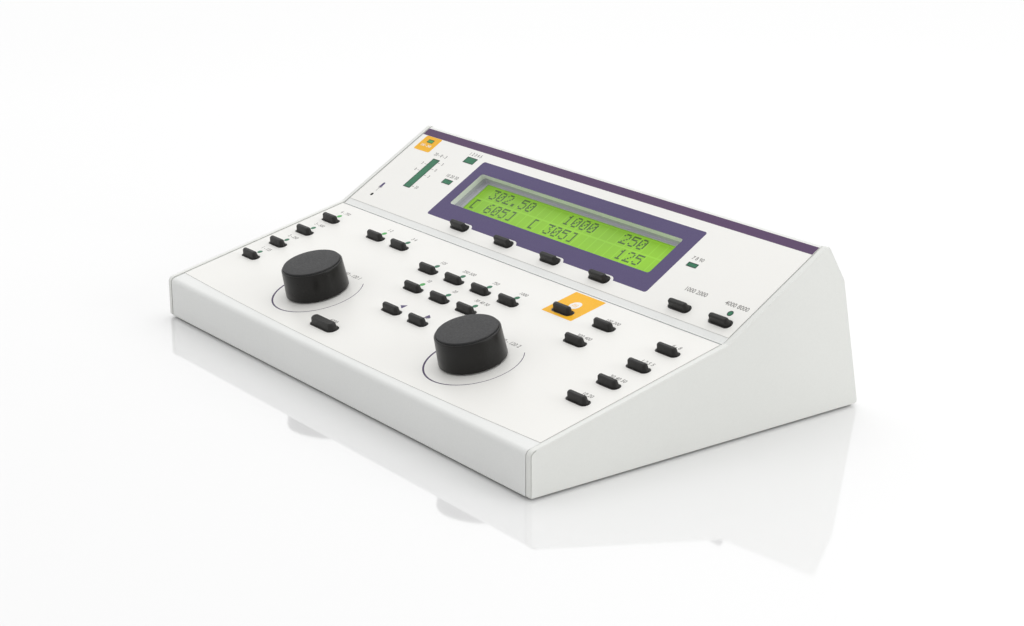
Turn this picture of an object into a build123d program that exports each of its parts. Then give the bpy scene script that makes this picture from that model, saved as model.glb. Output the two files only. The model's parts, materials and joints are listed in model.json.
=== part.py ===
from build123d import *
from math import cos, pi, radians, sin, tan
import os

# Desk-top diagnostic audiometer: a wedge-shaped case with a gently sloping lower deck that carries
# two rotary level knobs and most of the keys, and a steeper upper deck with a two-line display.
# Width runs along X, the operator sits at -Y, +Z is up, and the feet stand on Z = 0.
# Lengths are in millimetres and angles in degrees.

# Case, seen from the side: front wall, lower deck, upper deck, rear bevel, leaning rear wall
case_width = 368.0
front_height = 23.7
lower_deck_length = 130.2
lower_deck_slope = 12.75
upper_deck_length = 80.5
upper_deck_slope = 30.5
bevel_length = 24.5
bevel_slope = 59.2
rear_wall_lean = 11.4
wall = 3.0
front_edge_radius = 3.2
front_foot_radius = 0.8
crest_radius = 2.0
shoulder_radius = 3.0
fit_gap = 0.3
overrun = 1.0

# Cheeks: moulded end caps that plug into the ends of the covers
cheek_thickness = 3.1
cheek_gap = 0.9
cheek_rim_proud = 0.45
cheek_front_proud = 0.1
cheek_edge = 0.3
cheek_foot_radius = 1.5
cheek_groove_width = 0.5
cheek_groove_depth = 0.7
cheek_groove_inset = 0.4
plug_rib_depth = 4.5
plug_rib_thickness = 2.0

# Seam between the two covers, in the valley, and the lap of the rear panel under the bevel
seam_place = 128.6
seam_gap = 0.9
flange_depth = 9.0
tongue_reach = 4.5
tongue_thickness = 2.0
shoulder_turn = 5.0
lap_length = 7.0
lap_thickness = 2.0

# Base plate, moulded posts that stand on it, and feet
base_thickness = 2.0
post_side = 9.0
post_inset_x = 34.0
front_post_place = 9.5
rear_post_height = 16.0
foot_radius = 8.0
foot_height = 1.2
foot_inset_x = 26.0
foot_inset_y = 24.0

# Printed overlays
overlay_thickness = 0.25
overlay_side_gap = 0.2
lower_overlay_start = 10.6
lower_overlay_end = 128.0
upper_overlay_start = 4.3
upper_overlay_end = 77.9

# Keys: drafted obround caps on a retaining flange whose underside presses a switch.
# They repeat so often that their round ends are drawn with a few flats each.
key_length = 14.8
key_width = 4.2
key_height = 4.2
key_draft = 7.4
key_edge = 0.35
key_end_flat_count = 4
key_skirt_margin = 0.8
key_skirt_drop = 0.35
key_slot_gap = 0.25
key_slot_relief = 0.5
key_flange_margin = 0.9
key_flange_thickness = 1.2
key_travel = 1.0
large_key_length = 22.2
large_key_width = 6.2

# Places of the keys on the lower deck: x from the middle, t up the deck from its front edge
column_inset = 21.5
column_first_t = 47.5
row_pitch = 20.0
key_pitch = 26.0
pair_inset = 73.2
patch_key_share = 0.6823
group_top_t = 97.0
group_middle_drop = 19.9
group_arrow_drop = 24.2
large_key_x = -32.4
large_key_t = 19.4

# Places of the keys on the upper deck: t up the deck from the valley
soft_key_pitch = 44.6
soft_key_t = 12.0
talk_key_inset = 17.6
talk_key_pitch = 32.0

# Switches, boards and the pillars that carry the boards
switch_side = 6.4
switch_height = 4.0
switch_rest_gap = 0.3
board_thickness = 1.6
board_side_margin = 3.0
key_board_start = 13.5
key_board_end = 122.0
upper_board_start = 5.0
upper_board_end = 74.0
pillar_side = 6.0
pillar_pitch = 12.5
main_board_inset = 34.0
main_board_depth = 110.0
main_board_place = 150.0
main_board_lift = 6.0

# Lights under the overlay windows
key_light_side = 2.6
key_light_hole = 3.4
key_light_offset = 6.7
light_top_gap = 0.3
light_side_gap = 0.3
status_light_gap = 21.4
upper_status_light_t = 62.2
lower_status_light_t = 41.0
wide_light_length = 9.6
wide_light_width = 5.2
light_length = 7.6
light_width = 3.8
power_light_inset = 17.6
power_light_t = 67.0
power_light_length = 4.2
power_light_width = 3.4
meter_share = 0.555
meter_t = 40.8
meter_length = 6.4
meter_height = 27.0

# Microphone behind a small hole in the upper deck
microphone_inset = 18.8
microphone_t = 12.8
microphone_radius = 3.0
microphone_hole_radius = 1.3

# Display module in its window: margins at the sides and at the upper and lower ends
glass_view_length = 178.7
glass_view_height = 24.1
display_x = 0.75
display_t = 40.15
window_t = 40.65
window_side_margin = 5.25
window_end_margin = 2.5
window_corner_radius = 1.8
frame_wall = 5.15
frame_rim = 0.95
frame_depth = 5.6
frame_face = 0.5
glass_thickness = 3.2
glass_margin = 5.0
module_side_margin = 4.5
module_end_margin = 2.5
module_clearance = 1.5
module_post_side = 3.6

# Knobs: hollow moulded cups, drawn with many flats, on the shafts of two rotary encoders
knob_x = 78.0
knob_t = 44.0
knob_flat_count = 48
knob_base_radius = 18.7
knob_top_radius = 17.4
knob_height = 17.8
knob_lift = 0.8
knob_shoulder = 1.0
knob_wall = 2.4
knob_roof = 3.4
knob_disc_radius = 16.1
knob_disc_thickness = 1.4
knob_disc_proud = 0.5
knob_disc_gap = 0.15
hub_radius = 6.2
hub_lift = 3.4
encoder_side = 14.0
bush_radius = 4.5
bush_cut_radius = 7.4
nut_across_flats = 12.0
nut_thickness = 2.0
shaft_radius = 3.0
shaft_gap = 0.05
shaft_reach = 12.5
shaft_tail = 5.0

# Rear sockets; round pieces and holes that stay out of sight have a few flats
hidden_flat_count = 12
nut_side_count = 6
jack_count = 6
jack_pitch = 32.0
jack_x = 16.0
socket_row = 30.0
jack_bore_radius = 3.2
jack_bore_depth = 20.0
jack_barrel_radius = 4.75
jack_nut_across_flats = 14.0
jack_nut_thickness = 2.4
jack_body_side = 13.0
jack_body_depth = 22.0
inlet_inset = 34.0
inlet_bore_radius = 2.85
inlet_bore_depth = 9.5
inlet_pin_radius = 1.05
inlet_pin_share = 0.85
inlet_side = 9.6
inlet_body_depth = 11.0
data_inset = 68.0
data_opening_width = 8.5
data_opening_height = 7.8
data_opening_depth = 9.0
data_tongue_width = 5.6
data_tongue_height = 3.2
data_shell = 1.5
data_body_depth = 16.0
socket_flange_margin = 1.6
socket_proud = 1.0

# Depths below the top of an overlay, worked down through cover, key, switch and board
cover_top = -overlay_thickness
cover_under = cover_top - wall
flange_top = cover_under - fit_gap
flange_under = flange_top - key_flange_thickness
switch_top = flange_under - key_travel - switch_rest_gap
board_top = switch_top - switch_height
board_under = board_top - board_thickness

# Places across the width that follow the case, and the sizes that follow the display's glass
half_width = case_width / 2
panel_half = half_width - cheek_thickness - cheek_gap
plug_half = half_width - cheek_thickness - plug_rib_depth - fit_gap
column_x = half_width - column_inset
pair_x = half_width - pair_inset
patch_key_x = pair_x * patch_key_share
pillar_x = column_x - pillar_pitch
talk_key_x = half_width - talk_key_inset - talk_key_pitch
power_light_x = power_light_inset - half_width
microphone_x = microphone_inset - half_width
inlet_x = inlet_inset - half_width
data_x = data_inset - half_width
main_board_width = case_width - main_board_inset * 2
window_length = glass_view_length + window_side_margin * 2
window_height = glass_view_height + window_end_margin * 2
cavity_length = glass_view_length + glass_margin * 2
cavity_height = glass_view_height + glass_margin * 2
frame_length = cavity_length + frame_wall * 2
frame_height = cavity_height + frame_rim * 2
module_length = frame_length + module_side_margin * 2
module_height = frame_height + module_end_margin * 2
status_light_x = window_length / 2 + status_light_gap
meter_x = power_light_x * meter_share - status_light_x * (1 - meter_share)
slot_half_gap = key_skirt_margin + key_slot_gap
relief_half_gap = key_skirt_margin + key_slot_relief

# Corners of the case in the side view, as (y, z) from the foot of the front wall
lower_run = Vector(cos(radians(lower_deck_slope)), sin(radians(lower_deck_slope)))
upper_run = Vector(cos(radians(upper_deck_slope)), sin(radians(upper_deck_slope)))
bevel_run = Vector(cos(radians(bevel_slope)), -sin(radians(bevel_slope)))
front_low = Vector(0, 0)
front_top = Vector(0, front_height)
valley = front_top + lower_run * lower_deck_length
crest = valley + upper_run * upper_deck_length
shoulder = crest + bevel_run * bevel_length
rear_low = Vector(shoulder.X + shoulder.Y * tan(radians(rear_wall_lean)), 0)
rear_run = (rear_low - shoulder).normalized()
case_corners = [front_low, front_top, valley, crest, shoulder, rear_low]


def deck_frame(corner, slope):
    """Place of a deck: x across, y up the slope, z out of the overlay's top."""
    normal = (0, -sin(radians(slope)), cos(radians(slope)))
    plane = Plane(origin=(0, corner.X, corner.Y), x_dir=(1, 0, 0), z_dir=normal)
    return plane.location * Pos(0, 0, overlay_thickness)


lower_deck = deck_frame(front_top, lower_deck_slope)
upper_deck = deck_frame(valley, upper_deck_slope)
rear_wall = Plane(
    origin=(0, rear_low.X, rear_low.Y),
    x_dir=(-1, 0, 0),
    z_dir=(0, cos(radians(rear_wall_lean)), sin(radians(rear_wall_lean))),
).location


def crossing(point_a, run_a, point_b, run_b):
    """Where two lines of the side view meet."""
    across = run_a.X * run_b.Y - run_a.Y * run_b.X
    between = point_b - point_a
    return point_a + run_a * ((between.X * run_b.Y - between.Y * run_b.X) / across)


def inward(run):
    """Unit vector square to an edge of the case, pointing into it."""
    return Vector(run.Y, -run.X)


def moved_corners(depths):
    """The case outline with each edge moved inwards by its own depth; minus grows it."""
    lines = []
    for i, depth in enumerate(depths):
        run = (case_corners[(i + 1) % len(depths)] - case_corners[i]).normalized()
        lines.append((case_corners[i] + inward(run) * depth, run))
    return [crossing(*lines[i - 1], *line) for i, line in enumerate(lines)]


def evenly_moved(depth, foot_depth=0):
    """The case outline moved inwards by one depth, its underside by another."""
    return moved_corners([depth] * (len(case_corners) - 1) + [foot_depth])


def side_outline(points, radii=0):
    """Face in the side view with straight sides and, where asked, rounded corners."""
    spots = [(0, p.X, p.Y) for p in points]
    if radii:
        return make_face(FilletPolyline(*spots, radius=radii, close=True))
    return make_face(Polyline(*spots, close=True))


def across_case(points, half_width, radii=0):
    """Prism of a side-view outline, centred on the width."""
    return extrude(side_outline(points, radii), half_width, dir=(1, 0, 0), both=True)


def box(length, width, low, high, x=0, y=0):
    """Block centred at x, y between two heights."""
    return Pos(x, y, (low + high) / 2) * Box(length, width, high - low)


def rod(radius, low, high, x=0, y=0):
    """Cylinder centred at x, y between two heights."""
    return Pos(x, y, (low + high) / 2) * Cylinder(radius, high - low)


def prism(radius, flats, low, high, top_radius=0):
    """Upright prism of a regular polygon, tapering where a top radius is given."""
    foot = Pos(0, 0, low) * RegularPolygon(radius, flats)
    head = Pos(0, 0, high) * RegularPolygon(top_radius or radius, flats)
    return loft([foot, head], ruled=True)


def hexagon(across_flats, low, high):
    """Hexagonal nut blank between two heights."""
    radius = across_flats / 2 / cos(pi / nut_side_count)
    return prism(radius, nut_side_count, low, high)


def obround(length, width):
    """Obround face whose ends are made of short flats."""
    radius = width / 2
    centre = length / 2 - radius
    count = key_end_flat_count
    turns = [180 * i / count - 90 for i in range(count + 1)]
    end = [(centre + radius * cos(radians(a)), radius * sin(radians(a))) for a in turns]
    return make_face(Polyline(*end, *[(-x, -y) for x, y in end], close=True))


def window(low, high):
    """Rounded rectangular prism of the display window."""
    outline = RectangleRounded(window_length, window_height, window_corner_radius)
    return Pos(0, window_t, low) * extrude(outline, high - low)


# Where the keys are on each deck
lower_keys = {}
upper_keys = {}
top_row_t = column_first_t + row_pitch * 3
group_middle_t = group_top_t - group_middle_drop
group_arrow_t = group_middle_t - group_arrow_drop
for i in range(4):
    row_t = column_first_t + row_pitch * i
    lower_keys[f"left_key_{i + 1}"] = (-column_x, row_t)
    lower_keys[f"right_key_{i + 1}"] = (column_x, row_t)
    lower_keys[f"group_top_key_{i + 1}"] = ((i - 3 / 2) * key_pitch, group_top_t)
    upper_keys[f"soft_key_{i + 1}"] = ((i - 3 / 2) * soft_key_pitch, soft_key_t)
for i in range(3):
    lower_keys[f"group_middle_key_{i + 1}"] = ((i - 1) * key_pitch, group_middle_t)
for i in range(2):
    lower_keys[f"arrow_key_{i + 1}"] = ((i - 1 / 2) * key_pitch, group_arrow_t)
    lower_keys[f"pair_key_{i + 1}"] = (-pair_x + key_pitch * i, top_row_t)
    lower_keys[f"menu_key_{i + 1}"] = (pair_x, top_row_t - row_pitch * i)
    upper_keys[f"talk_key_{i + 1}"] = (talk_key_x + talk_key_pitch * i, soft_key_t)
lower_keys["patch_key"] = (patch_key_x, top_row_t)
lower_keys["large_key"] = (large_key_x, large_key_t)

# Where the lights are: x, t, length and width of each opening
key_lights = [
    (x, t + key_light_offset, key_light_hole, key_light_hole)
    for name, (x, t) in lower_keys.items()
    if name.startswith(("left_", "group_", "pair_"))
]
upper_lights = [
    (-status_light_x, upper_status_light_t, wide_light_length, wide_light_width),
    (-status_light_x, lower_status_light_t, light_length, light_width),
    (status_light_x, lower_status_light_t, light_length, light_width),
    (power_light_x, power_light_t, power_light_length, power_light_width),
    (meter_x, meter_t, meter_length, meter_height),
    (
        talk_key_x + talk_key_pitch,
        soft_key_t + key_light_offset,
        key_light_hole,
        key_light_hole,
    ),
]
knob_places = {"left": (-knob_x, knob_t), "right": (knob_x, knob_t)}
jack_xs = [jack_x + jack_pitch * (i - (jack_count - 1) / 2) for i in range(jack_count)]


def key_size(name):
    """Length and width of a key's cap where it leaves its slot."""
    if name == "large_key":
        return large_key_length, large_key_width
    return key_length, key_width


def key(name):
    """Drafted obround cap with a bevelled top, on a skirt that fills its slot and on its flange."""
    length, width = key_size(name)
    growth = key_skirt_drop * tan(radians(key_draft)) * 2
    foot = Pos(0, 0, -key_skirt_drop) * obround(length + growth, width + growth)
    cap = extrude(foot, key_height - key_edge + key_skirt_drop, taper=key_draft)
    cap += extrude(cap.faces().sort_by(Axis.Z)[-1], key_edge, taper=45)
    length, width = length + key_skirt_margin * 2, width + key_skirt_margin * 2
    skirt = Pos(0, 0, flange_top) * obround(length, width)
    cap += extrude(skirt, -key_skirt_drop - flange_top)
    length, width = length + key_flange_margin * 2, width + key_flange_margin * 2
    return cap + box(length, width, flange_under, flange_top)


def key_openings(keys, gap, low, high, cornered):
    """Openings round a deck's keys, larger than each cap by a gap on every side."""
    cuts = []
    for name, (x, t) in keys.items():
        length, width = [size + gap * 2 for size in key_size(name)]
        outline = Rectangle(length, width) if cornered else obround(length, width)
        cuts.append(Pos(x, t, low) * extrude(outline, high - low))
    return cuts


def light_openings(lights):
    """Square-cornered openings in a cover under the lit windows of its overlay."""
    low = cover_under - overrun
    return [box(length, width, low, 0, x, t) for x, t, length, width in lights]


def board_pillars(start, end):
    """Moulded pillars from a cover's underside to the corners of its board."""
    inset = pillar_side / 2 + fit_gap
    spots = [(x, t) for x in (-pillar_x, pillar_x) for t in (start + inset, end - inset)]
    return [box(pillar_side, pillar_side, board_top, cover_under, x, t) for x, t in spots]


def foot_posts(y, height):
    """Two posts that stand on the base plate."""
    x = panel_half - post_inset_x
    top = base_thickness + height
    return [box(post_side, post_side, base_thickness, top, side * x, y) for side in (-1, 1)]


def front_cover():
    """Front wall and lower deck in one moulding, with a flange and tongue at the seam."""
    skin = evenly_moved(wall)
    deep = inward(lower_run)
    seam = front_top + lower_run * seam_place
    under = seam + deep * wall
    foot = Vector(skin[1].X, 0)
    outline = [front_low, front_top, seam, under, skin[1], foot]
    cover = across_case(outline, panel_half, [front_foot_radius, front_edge_radius, 0, 0, 0, 0])
    low = seam + deep * flange_depth
    tongue = deep * tongue_thickness
    heel = lower_run * wall
    reach = lower_run * tongue_reach
    flange = [under, low, low + reach, low + reach + tongue, low + tongue - heel, under - heel]
    cover += across_case(flange, plug_half)
    hollow = across_case([front_low, *skin[1:3], rear_low], panel_half)
    cover += [post & hollow for post in foot_posts(front_post_place, front_height)]
    cover += [lower_deck * pillar for pillar in board_pillars(key_board_start, key_board_end)]
    low = cover_under - overrun
    cuts = key_openings(lower_keys, relief_half_gap, low, 0, True)
    cuts += light_openings(key_lights)
    barrel = prism(bush_radius + fit_gap, hidden_flat_count, low, 0)
    cuts += [Pos(x, t) * barrel for x, t in knob_places.values()]
    return cover - [lower_deck * cut for cut in cuts]


def upper_cover():
    """Valley lip, upper deck and rear bevel in one moulding, with the display window."""
    skin = evenly_moved(wall)
    deep = inward(lower_run)
    back = inward(bevel_run) * wall
    lip = front_top + lower_run * (seam_place + seam_gap)
    lip_under = crossing(lip, deep, skin[2], lower_run)
    heel = crossing(lip + lower_run * wall, deep, skin[2], upper_run)
    end = shoulder - bevel_run * shoulder_turn
    outline = [lip, valley, crest, end, end + back, skin[3], heel, lip_under]
    cover = across_case(outline, panel_half, [0, 0, crest_radius, 0, 0, 0, 0, 0])
    low = lip + deep * flange_depth
    cover += across_case([lip_under, heel, low + lower_run * wall, low], plug_half)
    cover += [upper_deck * pillar for pillar in board_pillars(upper_board_start, upper_board_end)]
    cover += [upper_deck * post for post in module_posts()]
    low = cover_under - overrun
    cuts = key_openings(upper_keys, relief_half_gap, low, 0, True)
    cuts += light_openings(upper_lights)
    cuts.append(rod(microphone_hole_radius, low, 0, microphone_x, microphone_t))
    cuts.append(window(low, 0))
    return cover - [upper_deck * cut for cut in cuts]


def module_posts():
    """Small posts at the corners of the display's board."""
    x = module_length / 2 - module_post_side / 2 - fit_gap
    t = module_height / 2 - module_post_side / 2 - fit_gap
    low = cover_under - frame_depth
    side = module_post_side
    spots = [(display_x + i * x, display_t + j * t) for i in (-1, 1) for j in (-1, 1)]
    return [box(side, side, low, cover_under, px, pt) for px, pt in spots]


def rear_panel():
    """Rounded shoulder and leaning rear wall, with the lap that the upper cover rests on."""
    skin = evenly_moved(wall)
    back = inward(bevel_run)
    start = shoulder - bevel_run * (shoulder_turn - fit_gap)
    under = start + back * wall
    outline = [start, shoulder, rear_low, Vector(skin[5].X, 0), skin[4], under]
    panel = across_case(outline, panel_half, [0, shoulder_radius, 0, 0, 0, 0])
    lap_end = under - bevel_run * lap_length
    lap_low = lap_end + back * lap_thickness
    lap = [under, lap_end, lap_low, crossing(lap_low, bevel_run, skin[4], rear_run), skin[4]]
    panel += across_case(lap, plug_half)
    hollow = across_case([front_low, skin[1], skin[4], skin[5]], panel_half)
    panel += [post & hollow for post in foot_posts(skin[5].X - post_side / 2, rear_post_height)]
    low = -wall - overrun
    barrel = prism(jack_barrel_radius + fit_gap, hidden_flat_count, low, overrun)
    cuts = [Pos(x, socket_row) * barrel for x in jack_xs]
    gap = fit_gap * 2
    cuts.append(box(inlet_side + gap, inlet_side + gap, low, overrun, inlet_x, socket_row))
    width, height = data_shell_size()
    cuts.append(box(width + gap, height + gap, low, overrun, data_x, socket_row))
    return panel - [rear_wall * cut for cut in cuts]


def cheek(side):
    """End cap: outer plate with a rim, a plug rib inside and a fine groove behind its front."""
    inner_face = half_width - cheek_thickness
    plate = Pos(inner_face, 0, 0) * extrude(cheek_outline(), cheek_thickness, dir=(1, 0, 0))
    plate = chamfer(plate.faces().sort_by(Axis.X)[-1].edges(), cheek_edge)
    hollow = wall + fit_gap
    floor = base_thickness + fit_gap
    rib = side_outline(evenly_moved(hollow, floor)) - side_outline(
        evenly_moved(hollow + plug_rib_thickness, floor + plug_rib_thickness)
    )
    rib = extrude(rib, plug_rib_depth, dir=(1, 0, 0))
    plate += Pos(inner_face - plug_rib_depth, 0, 0) * rib
    reach = front_edge_radius + cheek_rim_proud
    bands = [
        side_outline(cheek_corners(inset), [0, reach - inset, 0, 0, 0, 0])
        for inset in (cheek_groove_inset, cheek_groove_inset + cheek_groove_width)
    ]
    groove = extrude(bands[0] - bands[1], cheek_groove_depth, dir=(1, 0, 0))
    near_front = box(case_width, reach * 2, 0, front_height + reach)
    whole = plate - (Pos(half_width - cheek_groove_depth, 0, 0) * groove & near_front)
    return whole if side > 0 else mirror(whole, Plane.YZ)


def cheek_corners(inset=0):
    """Corners of a cheek in the side view, drawn in by an inset above its underside."""
    others = len(case_corners) - 2
    return moved_corners([inset - cheek_front_proud] + [inset - cheek_rim_proud] * others + [0])


def cheek_outline():
    """Side view of a cheek, standing a little proud of the covers, with rounded corners."""
    radii = [
        cheek_foot_radius,
        front_edge_radius + cheek_rim_proud,
        0,
        crest_radius + cheek_rim_proud,
        shoulder_radius + cheek_rim_proud,
        cheek_foot_radius,
    ]
    return side_outline(cheek_corners(), radii)


def base_plate():
    """Bottom plate between the walls, with the pads that carry the main board."""
    corners = moved_corners([wall + fit_gap, 0, 0, 0, wall + fit_gap, base_thickness])
    front, rear = corners[0], corners[5]
    outline = [Vector(front.X, 0), front, rear, Vector(rear.X, 0)]
    plate = across_case(outline, panel_half)
    inset = pillar_side / 2 + fit_gap
    top = base_thickness + main_board_lift
    for side_x in (-1, 1):
        for side_y in (-1, 1):
            x = side_x * (main_board_width / 2 - inset)
            y = main_board_place + side_y * (main_board_depth / 2 - inset)
            plate += box(pillar_side, pillar_side, base_thickness, top, x, y)
    return plate


def feet():
    """Round rubber pads stuck under the base plate."""
    x = half_width - foot_inset_x
    spots = [(side * x, y) for side in (-1, 1) for y in (foot_inset_y, rear_low.X - foot_inset_y)]
    return [rod(foot_radius, -foot_height, 0, px, py) for px, py in spots]


def overlay(start, end, keys, extra_cuts):
    """Thin printed sheet with the openings that the keys pass."""
    half = panel_half - overlay_side_gap
    sheet = box(half * 2, end - start, cover_top, 0, 0, (start + end) / 2)
    return sheet - key_openings(keys, slot_half_gap, cover_under, overrun, False) - extra_cuts


def display_parts():
    """Metal frame, glass and module board, seen through the window of the upper cover."""
    centre = upper_deck * Pos(display_x, display_t)
    face_under = cover_under - frame_face
    frame_under = cover_under - frame_depth
    frame = box(frame_length, frame_height, frame_under, cover_under)
    frame -= box(glass_view_length, glass_view_height, frame_under, cover_under)
    frame -= box(cavity_length, cavity_height, frame_under, face_under)
    gap = fit_gap * 2
    glass_under = face_under - glass_thickness
    glass = box(cavity_length - gap, cavity_height - gap, glass_under, face_under)
    board = box(module_length, module_height, frame_under - board_thickness, frame_under)
    return [centre * part for part in (frame, glass, board)]


def deck_board(start, end):
    """Board under a deck, on the cover's pillars."""
    half = plug_half - board_side_margin
    return box(half * 2, end - start, board_under, board_top, 0, (start + end) / 2)


def upper_board():
    """Board under the upper deck, cut out round the display module."""
    length = module_length + module_clearance * 2
    height = module_height + module_clearance * 2
    cut = box(length, height, board_under, board_top, display_x, display_t)
    return deck_board(upper_board_start, upper_board_end) - cut


def main_board():
    """Signal and processor board on the pads of the base plate."""
    low = base_thickness + main_board_lift
    high = low + board_thickness
    return box(main_board_width, main_board_depth, low, high, 0, main_board_place)


def switches(deck, keys):
    """Push switches on a board, one under each key."""
    body = box(switch_side, switch_side, board_top, switch_top)
    return [deck * Pos(x, t) * body for x, t in keys.values()]


def lights():
    """Light packages standing on the two boards under their windows."""
    top = cover_under - light_top_gap
    side = key_light_side
    found = [lower_deck * box(side, side, board_top, top, x, t) for x, t, *_ in key_lights]
    gap = light_side_gap * 2
    for x, t, length, width in upper_lights:
        found.append(upper_deck * box(length - gap, width - gap, board_top, top, x, t))
    return found


def microphone():
    """Small round capsule between the upper cover and its board."""
    capsule = prism(microphone_radius, hidden_flat_count, board_top, cover_under)
    return Pos(microphone_x, microphone_t) * capsule


def encoder():
    """Rotary encoder under the cover, its barrel and nut above it, bored for the shaft."""
    nut_top = cover_top + nut_thickness
    body = box(encoder_side, encoder_side, board_top, cover_under)
    body += prism(bush_radius, hidden_flat_count, cover_under, cover_top)
    body += hexagon(nut_across_flats, cover_top, nut_top)
    return body - rod(shaft_radius + shaft_gap, cover_under - shaft_tail, nut_top)


def knob():
    """Hollow tapered cup with a bevelled shoulder, a recess for its disc and a bored hub."""
    top = knob_height
    edge = top - knob_shoulder
    recess = top - knob_disc_thickness + knob_disc_proud
    roof = top - knob_roof
    body = prism(knob_base_radius, knob_flat_count, knob_lift, edge, knob_top_radius)
    body += prism(knob_top_radius, knob_flat_count, edge, top, knob_top_radius - knob_shoulder)
    body -= prism(knob_disc_radius + knob_disc_gap, knob_flat_count, recess, top)
    body -= prism(knob_top_radius - knob_wall, knob_flat_count, knob_lift, roof)
    body += prism(hub_radius, hidden_flat_count, hub_lift, roof)
    return body - rod(shaft_radius + shaft_gap, hub_lift, shaft_reach + fit_gap)


def knob_disc():
    """Matt disc set into the top of a knob, standing a little proud."""
    top = knob_height + knob_disc_proud
    return prism(knob_disc_radius, knob_flat_count, top - knob_disc_thickness, top)


def shaft():
    """Round shaft from inside the encoder to inside the knob."""
    return rod(shaft_radius, cover_under - shaft_tail + fit_gap, shaft_reach)


def jack():
    """Panel jack: square body inside, barrel through the rear panel, nut outside."""
    body = box(jack_body_side, jack_body_side, -wall - jack_body_depth, -wall)
    body += prism(jack_barrel_radius, hidden_flat_count, -wall, 0)
    body += hexagon(jack_nut_across_flats, 0, jack_nut_thickness)
    return body - rod(jack_bore_radius, jack_nut_thickness - jack_bore_depth, jack_nut_thickness)


def power_inlet():
    """Low-voltage inlet with a square face, a round bore and its centre pin."""
    side = inlet_side + socket_flange_margin * 2
    body = box(inlet_side, inlet_side, -wall - inlet_body_depth, 0)
    body += box(side, side, 0, socket_proud)
    floor = socket_proud - inlet_bore_depth
    body -= rod(inlet_bore_radius, floor, socket_proud)
    body += rod(inlet_pin_radius, floor, floor + inlet_bore_depth * inlet_pin_share)
    return rear_wall * (Pos(inlet_x, socket_row) * body)


def data_shell_size():
    """Outer width and height of the data socket's shell."""
    return data_opening_width + data_shell * 2, data_opening_height + data_shell * 2


def data_socket():
    """Square data socket with a tongue in its opening and a thin flange outside."""
    width, height = data_shell_size()
    margin = socket_flange_margin * 2
    floor = socket_proud - data_opening_depth
    body = box(width, height, -wall - data_body_depth, 0)
    body += box(width + margin, height + margin, 0, socket_proud)
    body -= box(data_opening_width, data_opening_height, floor, socket_proud)
    body += box(data_tongue_width, data_tongue_height, floor, 0)
    return rear_wall * (Pos(data_x, socket_row) * body)


# The finished model stands on its feet, centred on the depth of its cheeks
cheek_bounds = cheek_outline().bounding_box()
depth_middle = (cheek_bounds.min.Y + cheek_bounds.max.Y) / 2
stand = Pos(0, -depth_middle, foot_height)
os.makedirs("parts", exist_ok=True)


def save(name, *shapes):
    """Write one sub-part; several solids of one kind share a file."""
    solids = [stand * solid for shape in shapes for solid in shape.solids()]
    whole = solids[0] if len(solids) == 1 else Compound(children=solids)
    export_step(whole, f"parts/{name}.step")


save("front_cover", front_cover())
save("upper_cover", upper_cover())
save("rear_panel", rear_panel())
save("base_plate", base_plate())
save("left_cheek", cheek(-1))
save("right_cheek", cheek(1))
save("feet", *feet())

# The overlays clear the encoder nuts, the microphone's hole and the display window
nut_cut = prism(bush_cut_radius, hidden_flat_count, cover_under, overrun)
nut_cuts = [Pos(x, t) * nut_cut for x, t in knob_places.values()]
window_cuts = [
    window(cover_under, overrun),
    rod(microphone_hole_radius, cover_under, overrun, microphone_x, microphone_t),
]
lower_sheet = overlay(lower_overlay_start, lower_overlay_end, lower_keys, nut_cuts)
upper_sheet = overlay(upper_overlay_start, upper_overlay_end, upper_keys, window_cuts)
save("lower_overlay", lower_deck * lower_sheet)
save("upper_overlay", upper_deck * upper_sheet)

display_frame, display_glass, display_board = display_parts()
save("display_frame", display_frame)
save("display_glass", display_glass)
save("display_board", display_board)

save("key_board", lower_deck * deck_board(key_board_start, key_board_end))
save("upper_board", upper_deck * upper_board())
save("main_board", main_board())
save("lower_switches", *switches(lower_deck, lower_keys))
save("upper_switches", *switches(upper_deck, upper_keys))
save("indicator_lights", *lights())
save("microphone", upper_deck * microphone())

for deck, keys in ((lower_deck, lower_keys), (upper_deck, upper_keys)):
    for name, (x, t) in keys.items():
        save(name, deck * Pos(x, t) * key(name))

save("encoders", *[lower_deck * Pos(x, t) * encoder() for x, t in knob_places.values()])
for side, (x, t) in knob_places.items():
    place = lower_deck * Pos(x, t)
    save(f"{side}_shaft", place * shaft())
    save(f"{side}_knob", place * knob())
    save(f"{side}_knob_disc", place * knob_disc())

save("jack_sockets", *[rear_wall * Pos(x, socket_row) * jack() for x in jack_xs])
save("power_inlet", power_inlet())
save("data_socket", data_socket())
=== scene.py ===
import json
from math import atan2, cos, pi, radians, sin, sqrt, tan

import bmesh
import bpy
from mathutils import Matrix, Vector


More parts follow.
